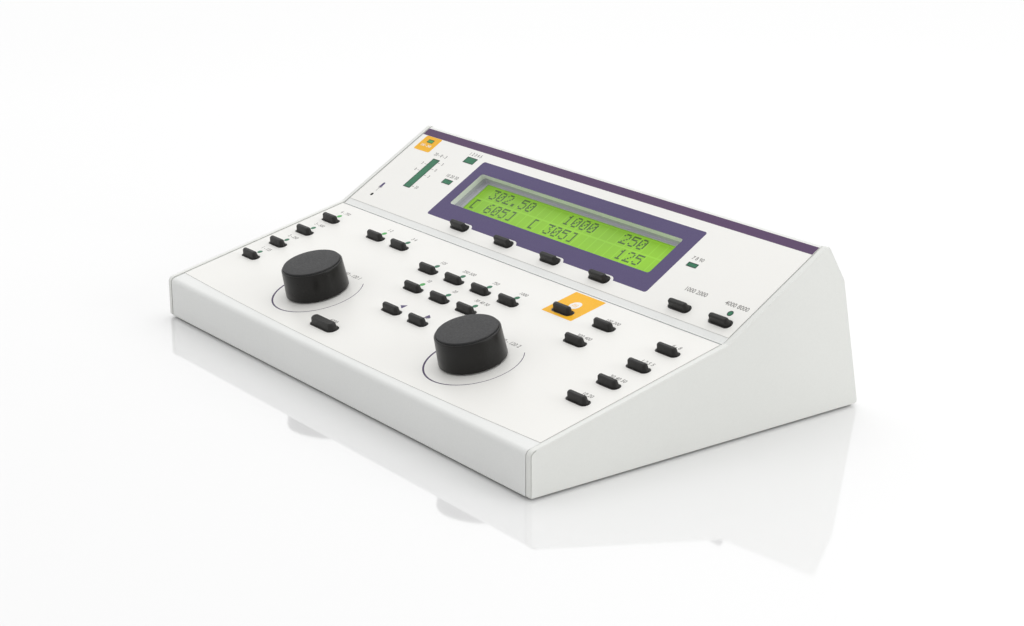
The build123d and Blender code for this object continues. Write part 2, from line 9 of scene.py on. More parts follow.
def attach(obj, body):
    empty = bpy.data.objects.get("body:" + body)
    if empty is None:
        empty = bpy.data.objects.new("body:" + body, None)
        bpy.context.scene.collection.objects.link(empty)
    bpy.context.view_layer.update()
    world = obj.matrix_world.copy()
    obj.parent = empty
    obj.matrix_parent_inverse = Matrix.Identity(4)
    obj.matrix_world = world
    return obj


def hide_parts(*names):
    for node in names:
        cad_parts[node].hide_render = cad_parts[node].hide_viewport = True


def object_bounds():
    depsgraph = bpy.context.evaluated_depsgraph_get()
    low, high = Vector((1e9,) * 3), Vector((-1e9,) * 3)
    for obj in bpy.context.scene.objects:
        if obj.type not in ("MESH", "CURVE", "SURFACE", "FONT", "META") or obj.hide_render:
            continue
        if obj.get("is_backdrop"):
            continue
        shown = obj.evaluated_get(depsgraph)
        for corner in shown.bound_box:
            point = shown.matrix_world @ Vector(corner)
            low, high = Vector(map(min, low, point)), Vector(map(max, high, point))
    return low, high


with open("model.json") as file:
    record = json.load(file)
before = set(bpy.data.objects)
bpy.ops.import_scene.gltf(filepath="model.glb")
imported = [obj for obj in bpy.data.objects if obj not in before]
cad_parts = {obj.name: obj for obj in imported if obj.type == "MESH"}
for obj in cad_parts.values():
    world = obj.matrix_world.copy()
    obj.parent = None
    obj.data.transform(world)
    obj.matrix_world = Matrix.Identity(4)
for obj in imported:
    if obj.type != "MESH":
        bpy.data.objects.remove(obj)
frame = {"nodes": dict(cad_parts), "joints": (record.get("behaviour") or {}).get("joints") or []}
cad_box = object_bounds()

# ------------------------------------------------------------
# Case moulding: a folded front cover and upper cover with a rear panel, all injection moulded in
# pale grey ABS. The steel moulds are spark eroded, so every outer face has a fine dull grain.
# The covers slide over each other in the valley and are held by screws from below.
case_colour = (235, 236, 234)
case_shade = (229, 230, 228)
# Edges of the case and cheeks are rubbed lighter: partly wear, partly a painted highlight along the
# edges.
case_wear_and_highlight = (241, 241, 238)
case_grain = 0.00055
case_relief = 0.00005
case_roughness = (0.42, 0.6)
cloud_size = 0.11
fleck_share = 0.42


def paint(red, green, blue):
    """Linear colour for the shader from one matched in steps of 0 to 255."""
    shares = [step / 255 for step in (red, green, blue)]
    return [s / 12.92 if s < 0.04045 else ((s + 0.055) / 1.055) ** 2.4 for s in shares] + [1.0]


def wired(tree, kind, inputs=None, **settings):
    """Outputs of a new node, with its settings made and its inputs set or joined."""
    made = tree.nodes.new(kind)
    for name, value in settings.items():
        setattr(made, name, value)
    for key, value in (inputs or {}).items():
        if isinstance(value, bpy.types.NodeSocket):
            tree.links.new(value, made.inputs[key])
        else:
            made.inputs[key].default_value = value
    return made.outputs


def new_group(name, kind, inputs, outputs):
    """An empty node group with its named sockets: the tree, what it is given and what it makes."""
    tree = bpy.data.node_groups.new(name, kind)
    for way, sockets in (("INPUT", inputs), ("OUTPUT", outputs)):
        for label, sort, value in sockets:
            sort = "NodeSocket" + sort
            made = tree.interface.new_socket(name=label, in_out=way, socket_type=sort)
            if value is not None:
                made.default_value = value
    return tree, tree.nodes.new("NodeGroupInput").outputs, tree.nodes.new("NodeGroupOutput").inputs


def mixed(tree, share, first, second):
    """Colour between two others."""
    return wired(tree, "ShaderNodeMix", {0: share, 6: first, 7: second}, data_type="RGBA")[2]


def ranged(tree, value, low, high, out_low, out_high):
    """A number moved from one range to another, and held inside it."""
    values = (value, low, high, out_low, out_high)
    labels = ("Value", "From Min", "From Max", "To Min", "To Max")
    return wired(tree, "ShaderNodeMapRange", dict(zip(labels, values)))[0]


def sums(tree, operation, *values):
    """One sum of one or two numbers."""
    return wired(tree, "ShaderNodeMath", dict(enumerate(values)), operation=operation)[0]


def agreement(tree, first, second):
    """How well two directions agree: 1 the same, 0 square, -1 opposite."""
    ways = {0: first, 1: second}
    return wired(tree, "ShaderNodeVectorMath", ways, operation="DOT_PRODUCT")["Value"]


def noise(tree, place, scale, detail, roughness=0.5):
    """Random pattern of one scale, with finer detail in it."""
    inputs = {"Vector": place, "Scale": scale, "Detail": detail, "Roughness": roughness}
    return wired(tree, "ShaderNodeTexNoise", inputs)[0]


def relief_of(tree, height, depth, strength=1.0):
    """Surface direction changed by a pattern of heights."""
    inputs = {"Height": height, "Distance": depth, "Strength": strength}
    return wired(tree, "ShaderNodeBump", inputs)[0]


# Grain of a spark-eroded mould: rounded pits of one size, flecks, and slow clouding.
mould_grain, given, made = new_group(
    "mould_grain",
    "ShaderNodeTree",
    [("Grain", "Float", case_grain), ("Cloud Size", "Float", cloud_size)],
    [("Height", "Float", None), ("Fleck", "Float", None), ("Cloud", "Float", None)],
)
tree = mould_grain
place = wired(tree, "ShaderNodeTexCoord")["Object"]
per_grain = sums(tree, "DIVIDE", 1.0, given["Grain"])
per_cloud = sums(tree, "DIVIDE", 1.0, given["Cloud Size"])
per_fleck = sums(tree, "MULTIPLY", per_grain, fleck_share)
flecks = noise(tree, place, per_fleck, 3.0, 0.7)
clouds = noise(tree, place, per_cloud, 3.0)
tree.links.new(noise(tree, place, per_grain, 2.0, 0.55), made["Height"])
tree.links.new(ranged(tree, flecks, 0.3, 0.7, 0.0, 1.0), made["Fleck"])
tree.links.new(ranged(tree, clouds, 0.3, 0.7, 0.0, 1.0), made["Cloud"])

# Wear: where a sharp edge is rubbed by hands and cloths, broken up along its length.
rubbed_edge, given, made = new_group(
    "rubbed_edge",
    "ShaderNodeTree",
    [("Width", "Float", 0.0006), ("Patch Size", "Float", 0.012)],
    [("Mask", "Float", None)],
)
tree = rubbed_edge
turned = wired(tree, "ShaderNodeBevel", {"Radius": given["Width"]}, samples=4)[0]
straight = wired(tree, "ShaderNodeNewGeometry")["Normal"]
near_edge = ranged(tree, agreement(tree, turned, straight), 0.97, 0.75, 0.0, 1.0)
place = wired(tree, "ShaderNodeTexCoord")["Object"]
per_patch = sums(tree, "DIVIDE", 1.0, given["Patch Size"])
patches = ranged(tree, noise(tree, place, per_patch, 4.0, 0.6), 0.42, 0.62, 0.15, 1.0)
tree.links.new(sums(tree, "MULTIPLY", near_edge, patches), made["Mask"])


def grouped(tree, group, **inputs):
    """A group placed in a material with its own values."""
    inputs = {label.replace("_", " "): value for label, value in inputs.items()}
    return wired(tree, "ShaderNodeGroup", inputs, node_tree=group)


def new_finish(name, **shader_values):
    """A material, its node tree and its shader with the values that are the same all over."""
    made = bpy.data.materials.new(name)
    made.use_nodes = True
    shader = made.node_tree.nodes["Principled BSDF"]
    for label, value in shader_values.items():
        shader.inputs[label.replace("_", " ")].default_value = value
    return made, made.node_tree, shader.inputs


def fed(tree, shader, **outputs):
    """Joins colours, values and directions to the shader's inputs."""
    for label, value in outputs.items():
        tree.links.new(value, shader[label.replace("_", " ")])


def moulded(name, colour, shade, worn, grain, relief, roughness, wear=0.4, **shader_values):
    """Moulded plastic or rubber with its grain, clouding, flecks and rubbed edges."""
    finish, tree, shader = new_finish(name, **shader_values)
    skin = grouped(tree, mould_grain, Grain=grain)
    edge = grouped(tree, rubbed_edge)["Mask"]
    tone = sums(tree, "MULTIPLY", skin["Fleck"], 0.35)
    tone = sums(tree, "ADD", tone, sums(tree, "MULTIPLY", skin["Cloud"], 0.65))
    body = mixed(tree, tone, paint(*colour), paint(*shade))
    body = mixed(tree, sums(tree, "MULTIPLY", edge, wear), body, paint(*worn))
    dull = ranged(tree, skin["Fleck"], 0.0, 1.0, *roughness)
    pits = relief_of(tree, skin["Height"], relief, 0.8)
    fed(tree, shader, Base_Color=body, Roughness=dull, Normal=pits)
    return finish


def refinish(finish, *nodes):
    """Gives CAD nodes a finish in place of the plain one that they came with."""
    for name in nodes:
        for held in frame["nodes"][name].material_slots:
            held.material = finish


case_finish = moulded(
    "case_moulding", case_colour, case_shade, case_wear_and_highlight, case_grain, case_relief, case_roughness
)
refinish(case_finish, "front_cover", "upper_cover", "rear_panel")

# ------------------------------------------------------------
# Cheeks: one-piece end caps of the same ABS, coloured slightly darker than the covers. Each plugs
# into the ends of the covers with a rib, stands a little proud of them, and has a fine shadow
# groove in front.
cheek_colour = (231, 232, 228)
cheek_shade = (225, 226, 222)
cheek_finish = moulded(
    "cheek_moulding", cheek_colour, cheek_shade, case_wear_and_highlight, case_grain, case_relief, case_roughness
)
refinish(cheek_finish, "left_cheek", "right_cheek")

# ------------------------------------------------------------
# Base: a flat moulded plate of dark grey ABS between the walls, on four round pads of black rubber
# that are stuck into place under its corners. Its dark grey is partly painted shade, for the dark
# line under the case.
base_shade_finish = moulded(
    "base_moulding", (52, 53, 54), (44, 45, 46), (78, 79, 80), 0.0008, 0.00007, (0.5, 0.7)
)
foot_finish = moulded(
    "foot_rubber", (30, 30, 31), (22, 22, 23), (52, 52, 53), 0.0006, 0.00006, (0.7, 0.9), 0.5
)
refinish(base_shade_finish, "base_plate")
refinish(foot_finish, "feet")

# ------------------------------------------------------------
# Electronics: fibreglass boards with a green solder mask, black push switches, the encoders'
# zinc bodies and steel shafts, and a small metal microphone capsule. All are soldered in place.
track_colour = (70, 130, 84)
rubbed_metal = (225, 225, 222)


def solder_mask(name, colour, shade):
    """Green lacquer over copper tracks, which show as paler raised lines."""
    finish, tree, shader = new_finish(name, Coat_Weight=0.3, Coat_Roughness=0.2)
    place = wired(tree, "ShaderNodeTexCoord")["Object"]
    tracks = {"Vector": place, "Scale": 160.0, "Mortar Size": 0.03, "Brick Width": 1.6}
    tracks["Row Height"] = 0.4
    tracks = wired(tree, "ShaderNodeTexBrick", tracks)["Fac"]
    skin = grouped(tree, mould_grain, Grain=0.0015)
    body = mixed(tree, skin["Cloud"], paint(*colour), paint(*shade))
    body = mixed(tree, sums(tree, "MULTIPLY", tracks, 0.45), body, paint(*track_colour))
    dull = ranged(tree, skin["Fleck"], 0.0, 1.0, 0.3, 0.5)
    fed(tree, shader, Base_Color=body, Roughness=dull, Normal=relief_of(tree, tracks, 0.00003))
    return finish


def machined(name, colour, shade, roughness):
    """Turned, rolled or plated metal with fine lines along X and slow dulling."""
    finish, tree, shader = new_finish(name, Metallic=1.0)
    place = wired(tree, "ShaderNodeTexCoord")["Object"]
    lines = {"Vector": place, "Scale": (40.0, 900.0, 900.0)}
    lines = wired(tree, "ShaderNodeMapping", lines)[0]
    lines = noise(tree, lines, 4.0, 3.0)
    skin = grouped(tree, mould_grain, Grain=0.0012)
    edge = grouped(tree, rubbed_edge)["Mask"]
    body = mixed(tree, skin["Cloud"], paint(*colour), paint(*shade))
    body = mixed(tree, sums(tree, "MULTIPLY", edge, 0.4), body, paint(*rubbed_metal))
    dull = ranged(tree, lines, 0.3, 0.7, *roughness)
    fed(tree, shader, Base_Color=body, Roughness=dull, Normal=relief_of(tree, lines, 0.00001, 0.5))
    return finish


board_finish = solder_mask("solder_mask", (26, 84, 48), (18, 66, 38))
switch_finish = moulded(
    "switch_body", (34, 34, 36), (26, 26, 28), (60, 60, 62), 0.0005, 0.00004, (0.4, 0.6)
)
encoder_finish = machined("encoder_metal", (176, 176, 174), (150, 150, 148), (0.25, 0.45))
capsule_finish = machined("capsule_metal", (190, 191, 192), (170, 171, 172), (0.3, 0.5))
refinish(board_finish, "key_board", "upper_board", "main_board", "display_board")
refinish(switch_finish, "lower_switches", "upper_switches")
refinish(encoder_finish, "encoders", "left_shaft", "right_shaft")
refinish(capsule_finish, "microphone")


def lamp_body(name, colour, glow):
    """Milky epoxy body of a small lamp, clouded at random, with a faint glow that is painted light
    on the lamps that are off.
    """
    finish, tree, shader = new_finish(name, Emission_Strength=glow)
    skin = grouped(tree, mould_grain, Grain=0.0009)
    body = mixed(tree, skin["Cloud"], paint(*colour), paint(*[c * 0.85 for c in colour]))
    dull = ranged(tree, skin["Fleck"], 0.0, 1.0, 0.25, 0.4)
    fed(tree, shader, Base_Color=body, Emission_Color=body, Roughness=dull)
    return finish


# All lamps glow faintly; on the lamps that are off this glow is painted light.
refinish(lamp_body("lamp_epoxy", (70, 150, 105), 0.1), "indicator_lights")

# ------------------------------------------------------------
# Overlays: printed sheets of white polyester with a fine velvet grain, stuck to the two decks.
# Each deck gets its own place from its sheet: x across, y up the slope, z out of the sheet's top.
sheet_half = 0.1798
sheet_depth = 0.00025
upper_front = 0.0043
upper_rear = 0.0779
frame_starts = {"lower_overlay": 0.0106, "upper_overlay": upper_front}


def standing(across, along, out, origin):
    """Matrix of a place from the directions of its three axes."""
    made = Matrix((across, along, out)).transposed().to_4x4()
    made.translation = origin
    return made


def deck_of(sheet, key_joint):
    """Place of a deck, from the top face of its sheet and the way its keys travel."""
    travel = [j["axis"] for j in frame["joints"] if j["name"] == key_joint][0]
    out = -Vector(travel).normalized()
    run = Vector((0, out.z, -out.y))
    corners = [v.co for v in frame["nodes"][sheet].data.vertices]
    top = max(c.dot(out) for c in corners)
    start = min(c.dot(run) for c in corners) - frame_starts[sheet]
    return standing((1, 0, 0), run, out, out * top + run * start)


lower_deck = deck_of("lower_overlay", "left_key_1_travel")
upper_deck = deck_of("upper_overlay", "soft_key_1_travel")

# Keys' places on the decks, which the sheets, the prints, the lit windows and the keys use.
key_pitch = 0.026
key_row = 0.02
outer_x = 0.1625
outer_t = 0.0475
soft_t = 0.012
patch_x = 0.0756
patch_t = 0.1075
key_places = {}
for i in range(4):
    key_places[f"left_key_{i + 1}"] = (-outer_x, outer_t + key_row * i)
    key_places[f"right_key_{i + 1}"] = (outer_x, outer_t + key_row * i)
    key_places[f"group_top_key_{i + 1}"] = (-0.039 + key_pitch * i, 0.097)
for i in range(3):
    key_places[f"group_middle_key_{i + 1}"] = (-0.026 + key_pitch * i, 0.0771)
for i in range(2):
    key_places[f"arrow_key_{i + 1}"] = (-0.013 + key_pitch * i, 0.0529)
    key_places[f"pair_key_{i + 1}"] = (-0.1108 + key_pitch * i, patch_t)
    key_places[f"menu_key_{i + 1}"] = (0.1108, patch_t - key_row * i)
key_places["patch_key"] = (patch_x, patch_t)
key_places["large_key"] = (-0.0324, 0.0194)
soft_xs = (-0.0669, -0.0223, 0.0223, 0.0669)
upper_places = {f"soft_key_{i + 1}": (x, soft_t) for i, x in enumerate(soft_xs)}
upper_places["talk_key_1"] = (0.1344, soft_t)
upper_places["talk_key_2"] = (0.1664, soft_t)
knob_x = 0.078
knob_t = 0.044
microphone_x = -0.1652
microphone_t = 0.0128

# Film: its colour, and its cut faces painted slightly darker as the shade along the sheets' edges.
film_grain = 0.00032
film_relief = 0.000012
film_roughness = (0.34, 0.46)
film_worn = (226, 225, 220)
film_cut_edge_shade = (206, 205, 200)


def film(name, deck, colour):
    """Velvet polyester sheet whose cut edges, the faces that don't face out of the deck, are
    painted greyer as shade.
    """
    shade = [c - 4 for c in colour]
    finish = moulded(name, colour, shade, film_worn, film_grain, film_relief, film_roughness, 0.25)
    tree = finish.node_tree
    shader = tree.nodes["Principled BSDF"].inputs
    facing = wired(tree, "ShaderNodeTexCoord")["Normal"]
    # Painted shade: faces turned away from the deck's top, the cut edges, take the darker cut
    # colour.
    edge = ranged(tree, agreement(tree, facing, deck.col[2].to_3d()), 0.5, 0.9, 1.0, 0.0)
    printed = shader["Base Color"].links[0].from_socket
    fed(tree, shader, Base_Color=mixed(tree, edge, printed, paint(*film_cut_edge_shade)))
    return finish


# Inks: screen printed on the sheets. Each is a thin closed layer with its own outline.
ink_depth = 0.00003


def printed_ink(name, colour):
    """Screen ink on velvet film: even, a little duller than the film, with fine mesh mottling."""
    shade = [c * 0.93 for c in colour]
    worn = [min(255, c * 1.15 + 8) for c in colour]
    relief = 0.00001
    dull = (0.42, 0.56)
    return moulded(name, colour, shade, worn, film_grain, relief, dull, 0.2, Specular_IOR_Level=0.3)


def rounded(x0, y0, x1, y1, radius, steps=8):
    """Outline of a rectangle with rounded corners."""
    points = []
    centres = ((x1, y1, 0), (x0, y1, 90), (x0, y0, 180), (x1, y0, 270))
    for x, y, first in centres:
        cx = x - radius if x == x1 else x + radius
        cy = y - radius if y == y1 else y + radius
        for i in range(steps + 1):
            turn = radians(first + 90 * i / steps)
            points.append((cx + radius * cos(turn), cy + radius * sin(turn)))
    return points


def round_spot(x, y, radius, steps=48):
    """Outline of a disc."""
    return [
        (x + radius * cos(2 * pi * i / steps), y + radius * sin(2 * pi * i / steps))
        for i in range(steps)
    ]


def stadium(x, y, length, width, steps=12):
    """Outline of a slot with round ends."""
    return rounded(x - length / 2, y - width / 2, x + length / 2, y + width / 2, width / 2, steps)


def shown(name, data):
    """An object made of its data, in the scene."""
    made = bpy.data.objects.new(name, data)
    bpy.context.scene.collection.objects.link(made)
    return made


def drawn_mesh(thing):
    """Plain mesh of an object, as its curve or its geometry tree makes it."""
    view = bpy.context.evaluated_depsgraph_get()
    return bpy.data.meshes.new_from_object(thing.evaluated_get(view))


def in_place(shape, *places):
    """Turns the faces of a closed mesh outward and moves it by each place in turn."""
    bmesh.ops.recalc_face_normals(shape, faces=shape.faces)
    for place in places:
        bmesh.ops.transform(shape, verts=shape.verts, matrix=place)


def laid(name, deck, parts, finish, slot="overlay_film", depth=ink_depth, lift=0.0):
    """Flat outlines, or curves ready made, as one thin closed layer on a deck."""
    joined = bmesh.new()
    outline_curve = bpy.data.curves.new(name, "CURVE")
    outline_curve.dimensions = "2D"
    outline_curve.fill_mode = "BOTH"
    for outline in [p for p in parts if isinstance(p, list)]:
        spline = outline_curve.splines.new("POLY")
        spline.points.add(len(outline) - 1)
        for point, (x, y) in zip(spline.points, outline):
            point.co = (x, y, 0, 1)
        spline.use_cyclic_u = True
    curves = [(outline_curve, Matrix.Identity(4))] + [p for p in parts if not isinstance(p, list)]
    for curve, place in curves:
        curve.extrude = depth / 2
        drawn = shown(name, curve)
        flat = drawn_mesh(drawn)
        flat.transform(place)
        joined.from_mesh(flat)
        bpy.data.objects.remove(drawn)
        bpy.data.meshes.remove(flat)
    bmesh.ops.remove_doubles(joined, verts=joined.verts, dist=1e-7)
    in_place(joined, Matrix.Translation((0, 0, lift + depth / 2)), deck)
    layer = settled(name, joined, finish, "case", slot)
    layer.data.polygons.foreach_set("use_smooth", [False] * len(layer.data.polygons))
    return layer


def settled(name, shape, finish, body, slot, *replaced):
    """A mesh made into a piece of the product, on its body and with its finish."""
    mesh = bpy.data.meshes.new(name)
    shape.to_mesh(mesh)
    shape.free()
    mesh.materials.clear()
    mesh.materials.append(finish)
    for face in mesh.polygons:
        face.use_smooth = True
        face.material_index = 0
    mesh.set_sharp_from_angle(angle=radians(35))
    piece = shown(name, mesh)
    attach(piece, body)
    if replaced:
        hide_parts(*replaced)
    return piece


def figures(body, size, x, y):
    """Plain figures centred on a place, ready to be laid on a deck."""
    text = bpy.data.curves.new("figures", "FONT")
    text.body = body
    text.size = size
    text.align_x = "CENTER"
    text.align_y = "CENTER"
    text.resolution_u = 4
    text.offset = size * 0.012
    return text, Matrix.Translation((x, y, 0))


key_slot = (0.0169, 0.0063)
large_slot = (0.0243, 0.0083)


def key_slots(places):
    """Outlines of the slots with round ends that a sheet leaves round its keys."""
    cuts = []
    for name, (x, t) in places.items():
        cuts.append(stadium(x, t, *(large_slot if name == "large_key" else key_slot)))
    return cuts


# The sheets are die cut. The lower one is bowed along its front edge, where the deck's round ends.
bow_middle = 0.0056
bow_depth = 0.0041
bow_steps = 32
sheet_rear = 0.128
sheet_corner = 0.0004
# The lower sheet is coloured a little darker than the upper one as painted shade on the lower deck.
lower_colour_in_shade = (238, 237, 233)
upper_colour = (242, 241, 237)
bush_hole = 0.0074
microphone_hole = 0.0013
window_half = 0.0946
window_low = 0.0261
window_high = 0.0552
window_corner = 0.0018
lower_cut = []
for i in range(bow_steps + 1):
    x = sheet_half * (2 * i / bow_steps - 1)
    lower_cut.append((x, bow_middle + bow_depth * (x / sheet_half) ** 2))
lower_cut += [(sheet_half, sheet_rear), (-sheet_half, sheet_rear)]
lower_holes = [round_spot(x, knob_t, bush_hole) for x in (-knob_x, knob_x)]
upper_cut = rounded(-sheet_half, upper_front, sheet_half, upper_rear, sheet_corner, 2)
window_edge = rounded(-window_half, window_low, window_half, window_high, window_corner)
upper_holes = [window_edge, round_spot(microphone_x, microphone_t, microphone_hole)]
for name, deck, colour, outlines in (
    ("lower", lower_deck, lower_colour_in_shade, [lower_cut, *lower_holes, *key_slots(key_places)]),
    ("upper", upper_deck, upper_colour, [upper_cut, *upper_holes, *key_slots(upper_places)]),
):
    finish = film(name + "_film", deck, colour)
    sheet = laid(name + "_sheet", deck, outlines, finish, depth=sheet_depth, lift=-sheet_depth)
    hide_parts(name + "_overlay")

# Purple band along the top of the upper sheet and purple surround of the display, whose lower
# edge leaves a white margin round each of the four keys below it.
purple_ink = (82, 70, 114)
stripe_ink = (84, 56, 96)
surround_left = -0.1037
surround_right = 0.1052
surround_low = 0.0133
surround_high = 0.0647
surround_corner = 0.0018
margin_length = 0.0205
margin_width = 0.0078
margin_shift = 0.0004
stripe_low = 0.0715
stripe_high = 0.0774
stripe_inset = 0.0001
notch_steps = 8

surround = rounded(surround_left, surround_low, surround_right, surround_high, surround_corner)
drop = surround_low - soft_t
reach = margin_width / 2
first_turn = atan2(drop, sqrt(reach**2 - drop**2))
centre = margin_length / 2 - reach
notches = []
for x in [x + margin_shift for x in soft_xs]:
    for end, start in ((x - centre, pi - first_turn), (x + centre, pi / 2)):
        for i in range(notch_steps + 1):
            turn = start - (pi / 2 - first_turn) * i / notch_steps
            notches.append((end + reach * cos(turn), soft_t + reach * sin(turn)))
lower_left = len(surround) * 3 // 4
surround = surround[:lower_left] + notches + surround[lower_left:]
stripe_half = sheet_half - stripe_inset
stripe = rounded(-stripe_half, stripe_low, stripe_half, stripe_high, 0.0002, 2)
purple_finish = printed_ink("purple_ink", purple_ink)
stripe_finish = printed_ink("stripe_ink", stripe_ink)
laid("display_surround", upper_deck, [surround, window_edge], purple_finish)
laid("top_stripe", upper_deck, [stripe], stripe_finish)

# Orange patches: one behind the power light, one round a key of the lower deck.
orange_ink = (250, 186, 24)
print_slot = (0.0170, 0.0064)
orange_finish = printed_ink("orange_ink", orange_ink)
upper_patch = rounded(-0.1746, 0.0581, -0.1573, stripe_low - 0.0001, 0.0014)
lower_patch = rounded(0.0632, 0.1021, 0.0892, 0.1273, 0.0006)
laid("power_patch", upper_deck, [upper_patch], orange_finish)
lower_patch = [lower_patch, stadium(patch_x, patch_t, *print_slot)]
laid("key_patch", lower_deck, lower_patch, orange_finish)

# White marks on the orange: a disc with three bars left clear, and plain figures.
white_ink = (246, 245, 242)
mark_x = 0.0764
mark_t = 0.1157
mark_radius = 0.0039
bar_gap = 0.0014
bar_half = 0.0003
bar_reach = 0.0015
power_x = -0.1664
power_t = 0.0630
power_size = 0.0029
white_finish = printed_ink("white_ink", white_ink)
mark = [round_spot(mark_x, mark_t, mark_radius)]
for x in (mark_x - bar_gap, mark_x, mark_x + bar_gap):
    bar = (x - bar_half, mark_t - bar_reach, x + bar_half, mark_t + bar_reach)
    mark.append(rounded(*bar, 0.0002, 3))
laid("key_patch_mark", lower_deck, mark, white_finish, lift=ink_depth)
power_figures = [figures("100 - 240", power_size, power_x, power_t)]
laid("power_mark", upper_deck, power_figures, white_finish, lift=ink_depth)

# Rings printed round the two knobs: open arcs, wide at the front left and fine at their ends.
ring_ink = (66, 46, 88)
ring_places = ((-0.0773, 0.0435), (0.0790, 0.0436))
ring_radius = 0.0273
ring_turns = (140, 410, 205)
ring_widths = (0.00115, 0.00042)
ring_steps = 96


def tapered_arc(x, t, radius, first, last, widest, wide, fine):
    """Outline of an arc whose width changes along it; angles in degrees."""
    turns = [first + (last - first) * i / ring_steps for i in range(ring_steps + 1)]
    outer = []
    inner = []
    for turn in turns:
        share = (0.5 + 0.5 * cos(radians(turn - widest))) ** 2
        half = (fine + (wide - fine) * share) / 2
        spot = (cos(radians(turn)), sin(radians(turn)))
        outer.append((x + spot[0] * (radius + half), t + spot[1] * (radius + half)))
        inner.append((x + spot[0] * (radius - half), t + spot[1] * (radius - half)))
    return outer + inner[::-1]


rings = [tapered_arc(x, t, ring_radius, *ring_turns, *ring_widths) for x, t in ring_places]
laid("knob_rings", lower_deck, rings, printed_ink("ring_ink", ring_ink))

# Purple arrow heads behind two keys.
arrows = [
    [(-0.0145, 0.0602), (-0.0104, 0.0580), (-0.0104, 0.0624)],
    [(0.0155, 0.0602), (0.0114, 0.0624), (0.0114, 0.0580)],
]
laid("arrow_marks", lower_deck, arrows, purple_finish)

# Captions: plain figures in small grey print beyond each key, and the level scale's figures.
with_lights = ("left_", "group_", "pair_")
caption_ink = (138, 136, 134)
caption_finish = printed_ink("caption_ink", caption_ink)
caption_size = 0.0036
caption_beyond = 0.0064
past_light = 0.0115
knob_caption_size = 0.0040
knob_caption_t = 0.0672
talk_size = 0.0041
talk_caption_t = 0.0246
captions = {
    "left_key_1": "1 - 125", "left_key_2": "2 - 250", "left_key_3": "3 - 500",
    "left_key_4": "4 - 750", "right_key_1": "10 20", "right_key_2": "30 40 50",
    "right_key_3": "1 2.5 5", "right_key_4": "6 - 8", "group_top_key_1": "125",
    "group_top_key_2": "250 500", "group_top_key_3": "750", "group_top_key_4": "1000",
    "group_middle_key_1": "10", "group_middle_key_2": "20", "group_middle_key_3": "30 40 50",
    "pair_key_1": "1 2", "pair_key_2": "3 4", "menu_key_1": "100 200", "menu_key_2": "300 400",
    "arrow_key_2": "5.0", "large_key": "6000",
}
lower_text = []
for name, body in captions.items():
    x, t = key_places[name]
    beyond = past_light if name.startswith(with_lights) else caption_beyond
    lower_text.append(figures(body, caption_size, x, t + beyond))
for x, body in ((-knob_x, "0 - 60 - 120 1"), (knob_x, "0 - 60 - 120 2")):
    lower_text.append(figures(body, knob_caption_size, x, knob_caption_t))
laid("lower_captions", lower_deck, lower_text, caption_finish)
upper_text = [
    figures("1000 2000", talk_size, 0.1350, talk_caption_t),
    figures("4000 8000", talk_size, 0.1670, talk_caption_t),
    figures("1 2 3 4 5", caption_size, -0.1161, 0.0676),
    figures("10 20 30", caption_size, -0.1156, 0.0457),
    figures("7 8 90", caption_size, 0.1162, 0.0454),
    figures("20 - 0 - 3", caption_size, -0.1442, 0.0587),
]
scale_size = 0.0032
tick_half = 0.00015
right_rows = ((0.0525, "3"), (0.0464, "0"), (0.0400, "3"), (0.0290, "20"))
left_rows = ((0.0489, "3"), (0.0426, "0"))
ticks = []
for label_x, tick_left, tick_right, rows in (
    (-0.1346, -0.1396, -0.1373, right_rows),
    (-0.1526, -0.1504, -0.1480, left_rows),
):
    for t, body in rows:
        upper_text.append(figures(body, scale_size, label_x, t))
        ticks.append(rounded(tick_left, t - tick_half, tick_right, t + tick_half, 0.00005, 2))

# Small sign over the microphone's hole: a purple capsule in a pale holder on its stem.
sign_x = -0.1650
holder_t = 0.0210
holder_arcs = ((0.0019, range(180, 361, 15)), (0.0015, range(360, 179, -15)))
stem_half = 0.0002
capsule_half = 0.0011
holder = []
for radius, turns in holder_arcs:
    for turn in map(radians, turns):
        holder.append((sign_x + radius * cos(turn), holder_t + radius * sin(turn)))
ticks.append(holder)
ticks.append(rounded(sign_x - stem_half, 0.0162, sign_x + stem_half, 0.01905, 0.00005, 2))
laid("upper_captions", upper_deck, upper_text + ticks, caption_finish)
capsule = rounded(sign_x - capsule_half, 0.0198, sign_x + capsule_half, 0.0246, capsule_half)
laid("microphone_mark", upper_deck, [capsule], purple_finish, lift=ink_depth)

# ------------------------------------------------------------
# Lit windows: clear green places left in the print of the sheets, round by the keys, square on
# the upper deck and long over the level scale's row of lamps. Three are lit.
window_colour = (8, 112, 74)
lit_colour = (60, 162, 72)


def tinted(name, colour, glow):
    """Green window of a sheet over its lamp: smoother than the print, with a glow that on unlit
    windows is painted light.
    """
    finish, tree, shader = new_finish(name, Emission_Strength=glow, Specular_IOR_Level=0.35)
    skin = grouped(tree, mould_grain, Grain=film_grain, Cloud_Size=0.004)
    body = mixed(tree, skin["Cloud"], paint(*colour), paint(*[c * 0.88 for c in colour]))
    dull = ranged(tree, skin["Fleck"], 0.0, 1.0, 0.3, 0.42)
    fed(tree, shader, Base_Color=body, Emission_Color=body, Roughness=dull)
    fed(tree, shader, Normal=relief_of(tree, skin["Height"], 0.00001))
    return finish


spot_radius = 0.00175
spot_steps = 32
box_corner = 0.0002
light_offset = 0.0067
lit_keys = ("left_key_4", "pair_key_1", "group_middle_key_1")
